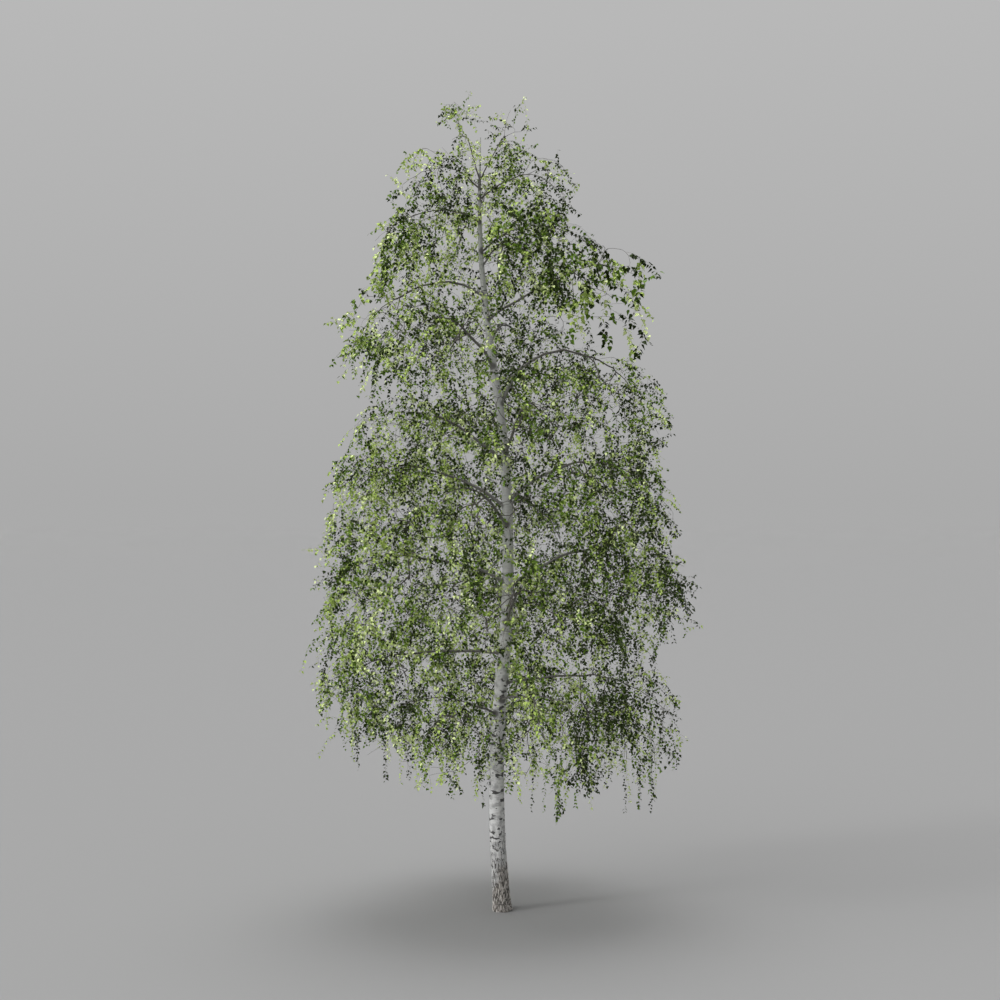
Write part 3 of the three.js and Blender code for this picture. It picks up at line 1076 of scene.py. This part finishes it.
def trunkMaterial():
    p = paperBark
    material, add, shader = newMaterial("birchPaperBark", {"Roughness": 0.6, "IOR": 1.45})
    place = add("Attribute", attribute_name="barkPlace").outputs["Vector"]
    collar = add("Attribute", attribute_name="collar").outputs["Fac"]
    masks = barkMasks(add, place)
    cloud = add("TexNoise", {"Vector": place, "Scale": p["cloudScale"], "Detail": 4})
    fine = add("VectorMath MULTIPLY", (place, p["dashScale"]))
    dashes = add("TexNoise", {"Vector": fine, "Scale": 1, "Detail": 1})
    long = add("VectorMath MULTIPLY", (place, p["streakScale"]))
    streaks = add("TexNoise", {"Vector": long, "Scale": 1, "Detail": 2})
    plates = layered(add, p["plates"], [(streaks, *p["streaks"])])
    colour = layered(add, p["colour"], [
        (cloud, *p["cloud"]),
        # greyer higher up, partly painted shade from the crown
        (masks["height"], *p["height"]),
        (dashes, *p["dashes"]),
        (masks["grey"], 0, 1, 1, plates),
        (masks["crack"], *p["crack"]),
        (masks["scar"], *p["scar"]),
        (collar, *p["collar"]),
    ])
    grain = add("TexNoise", {"Vector": place, "Scale": p["grainScale"], "Detail": 4})
    feed(shader, {"Base Color": colour, "Normal": add("Bump", {"Height": grain, **p["bump"]})})
    return material


# Bough bark: smooth grey where it is thick, darkening to brown where it thins.
boughBark = {
    "thin": "#49443f",
    "thick": (0.01, 0.042, 1, "#82827f"),  # radii between which it comes in, cover and colour
    "mottle": 0.012,  # how far its noise shifts those radii
    "mottleScale": 22,
    "bump": {"Strength": 0.3, "Distance": 0.004},
}


def boughMaterial():
    b = boughBark
    material, add, shader = newMaterial("birchBoughBark", {"Roughness": 0.65, "IOR": 1.45})
    thick = add("Attribute", attribute_name="thickness").outputs["Fac"]
    place = add("TexCoord").outputs["Object"]
    mottle = add("TexNoise", {"Vector": place, "Scale": b["mottleScale"], "Detail": 3})
    blend = add("Math MULTIPLY_ADD", (mottle, b["mottle"], thick))
    colour = layered(add, b["thin"], [(blend, *b["thick"])])
    feed(shader, {"Base Color": colour, "Normal": add("Bump", {"Height": mottle, **b["bump"]})})
    return material


# Pieces

pieceStyle = {
    "mostLeaf": 180000,  # triangles in one piece of leaves, by estimate
    "mostTwig": 190000,
    "twigFoot": 1.5,  # thickness of a twig's foot, as a share of its radius
    "twigTaper": 0.9,  # and how much of it is gone at the tip
    "twigSides": 3,
    "stemSides": 5,
    "boughSides": 12,
}


# Splits a list so that no part weighs more than the limit.
def inParts(items, weightOf, limit):
    parts = [[]]
    weight = 0
    for item in items:
        weight += weightOf(item)
        if weight > limit:
            parts.append([])
            weight = weightOf(item)
        parts[-1].append(item)
    return parts


def lengthOf(line):
    return sum((b - a).length for a, b in zip(line, line[1:]))


# The sprays of one tint, in pieces that stay small enough.
def makeLeaves(tint, tree):
    perSpur = leafStyle["triangles"] * sum(leafStyle["clusters"]) / len(leafStyle["clusters"])

    def triangles(spray):
        return perSpur * lengthOf(spray["line"]) / growth["leafSpacing"]

    tinted = [spray for spray in sprays if spray["tint"] == tint]
    pieces = []
    for number, part in enumerate(inParts(tinted, triangles, pieceStyle["mostLeaf"])):
        sizes = [[spray["leaf"]] * len(spray["line"]) for spray in part]
        mesh = linesMesh("sprays", [spray["line"] for spray in part], leaf=sizes)
        name = f"leaves_{tint}_{number + 1}"
        pieces.append(makePiece(name, mesh, tree, {"Leaf": materials[tint]}))
    return pieces


def makeTwigs(tree):
    # a closed tube of three sides
    def triangles(line):
        return 6 * len(line) - 4

    lines = [spray["line"] for spray in sprays] + bareTwigs
    foot, taper = pieceStyle["twigFoot"], pieceStyle["twigTaper"]
    for number, part in enumerate(inParts(lines, triangles, pieceStyle["mostTwig"])):
        thickness = []
        for line in part:
            last = len(line) - 1
            thickness.append([growth["twigRadius"] * (foot - taper * i / last) for i in range(last + 1)])
        mesh = linesMesh("twigs", part, thickness=thickness)
        makePiece(f"twigs_{number + 1}", mesh, tree, {"Skin": materials["twig"]})


def makeLimbs(name, wood, sides, tree):
    mesh = linesMesh(name, [part["points"] for part in wood], thickness=[part["radii"] for part in wood])
    return makePiece(name, mesh, tree, {"Skin": materials["bough"], "Sides": sides})


# The trunk, with a point on its skin where each bough comes out of it.
def makeTrunk():
    spots = []
    for name in limbNames:
        root, further = boughs[name]["points"][0], boughs[name]["points"][3]
        radius = np.interp(root.z, trunkRows[:, 2], trunkRows[:, 3])
        spots.append(root + (further - root).normalized() * float(radius))
    knots = newObject("knots", newMesh("knots", spots))
    line = [Vector(row[:3]) for row in trunkRows]
    mesh = linesMesh("trunk", [line], thickness=[trunkRows[:, 3].tolist()])
    piece = makePiece("trunkBark", mesh, trunkTree(knots), {"Skin": materials["trunk"]})
    bpy.data.objects.remove(knots)
    return piece


materials = {tint: leafMaterial(tint) for tint in leafTints}
materials["twig"] = newMaterial("birchTwigSkin", twigFinish)[0]
materials["bough"] = boughMaterial()
materials["trunk"] = trunkMaterial()

dice = random.Random(growth["seed"] + 1)
spurs = [leafCluster(i, count, dice) for i, count in enumerate(leafStyle["clusters"])]
leaves = leafTree(spurs)
leafPieces = []
for tint, (_, slot) in leafTints.items():
    leafPieces += makeLeaves(tint, leaves)
for spur in spurs:
    bpy.data.objects.remove(spur)
tubes = tubeTree()
makeTwigs(tubes)
stems = [stem for name in limbNames for stem in limbs[name][1:]]
makeLimbs("stems", stems, pieceStyle["stemSides"], tubes)
# each bough goes on into the first stem of its mass
whole = [
    {key: boughs[name][key] + limbs[name][0][key][1:] for key in ("points", "radii")}
    for name in limbNames
]
boughPiece = makeLimbs("boughs", whole, pieceStyle["boughSides"], tubes)
trunkPiece = makeTrunk()
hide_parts("trunk")
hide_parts(*["bough_" + name for name in limbNames])
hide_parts(*["foliage_" + name for name in limbNames])


# Stage

stage = {
    "floorHalf": 400,
    "floorFade": (50, 380),  # it thins out between these distances, so that no edge shows
    "floorColour": "#8c8c8c",
    "wallLow": 0.405,  # glow of the room at eye level and a little higher
    "wallHigh": 0.48,
    "wallTop": 0.29,
    "softbox": 5.5,  # glow of the soft light overhead
    "softboxFrom": (0, 0.2, 1),
    "softboxEdge": (0.9, 0.98),
    "lamps": (
        {"strength": 1.5, "angle": 70, "from": (-0.8, -0.45, 0.75)},
        {"strength": 1.0, "angle": 14, "from": (-0.9, -0.4, 0.4)},
    ),
    "eye": (-0.029, -23.3, 6.023),
    "lens": 57.1,
    "farthest": 1000,
}


def makeFloor():
    half = stage["floorHalf"]
    corners = [(x * half, y * half, 0) for x, y in ((-1, -1), (1, -1), (1, 1), (-1, 1))]
    mesh = newMesh("floor", corners, faces=[(0, 1, 2, 3)])
    floor = newObject("floor", mesh)
    colour = hexColour(stage["floorColour"])
    finish = {"Roughness": 0.9, "Specular IOR Level": 0, "Base Color": colour}
    material, add, shader = newMaterial("studioFloor", finish)
    place = add("TexCoord").outputs["Object"]
    away = add("VectorMath LENGTH", (place,)).outputs["Value"]
    fade = add("MapRange SMOOTHSTEP", (away, *stage["floorFade"]))
    grain = add("TexWhiteNoise", {"Vector": place})
    gone = add("Math GREATER_THAN", (fade, grain))
    clear = add("BsdfTransparent")
    seen = add("MixShader", (gone, shader, clear))
    feed(material.node_tree.nodes["Material Output"], {"Surface": seen})
    mesh.materials.append(material)


def makeLight():
    for values in stage["lamps"]:
        light = bpy.data.lights.new("lamp", "SUN")
        light.energy = values["strength"]
        light.angle = math.radians(values["angle"])
        lamp = newObject("lamp", light)
        lamp.rotation_euler = Vector(values["from"]).to_track_quat("Z", "Y").to_euler()
    world = bpy.data.worlds.new("studio")
    world.use_nodes = True
    add = partial(addNode, world.node_tree)
    place = add("TexCoord").outputs["Generated"]
    height = add("SeparateXYZ", {"Vector": place}).outputs["Z"]
    wall = add("MapRange", (height, 0, stage["wallTop"], stage["wallLow"], stage["wallHigh"]))
    aim = Vector(stage["softboxFrom"]).normalized()
    facing = add("VectorMath DOT_PRODUCT", (place, aim)).outputs["Value"]
    softbox = add("MapRange SMOOTHSTEP", (facing, *stage["softboxEdge"], 0, stage["softbox"]))
    glow = add("Math ADD", (wall, softbox))
    feed(world.node_tree.nodes["Background"], {"Color": (1, 1, 1, 1), "Strength": glow})
    bpy.context.scene.world = world


def makeCamera():
    camera = bpy.data.cameras.new("camera")
    camera.lens = stage["lens"]
    camera.clip_end = stage["farthest"]
    eye = newObject("camera", camera)
    eye.location = stage["eye"]
    eye.rotation_euler = (math.pi / 2, 0, 0)
    bpy.context.scene.camera = eye


makeFloor()
makeLight()
makeCamera()
bpy.context.scene.view_settings.view_transform = "Standard"
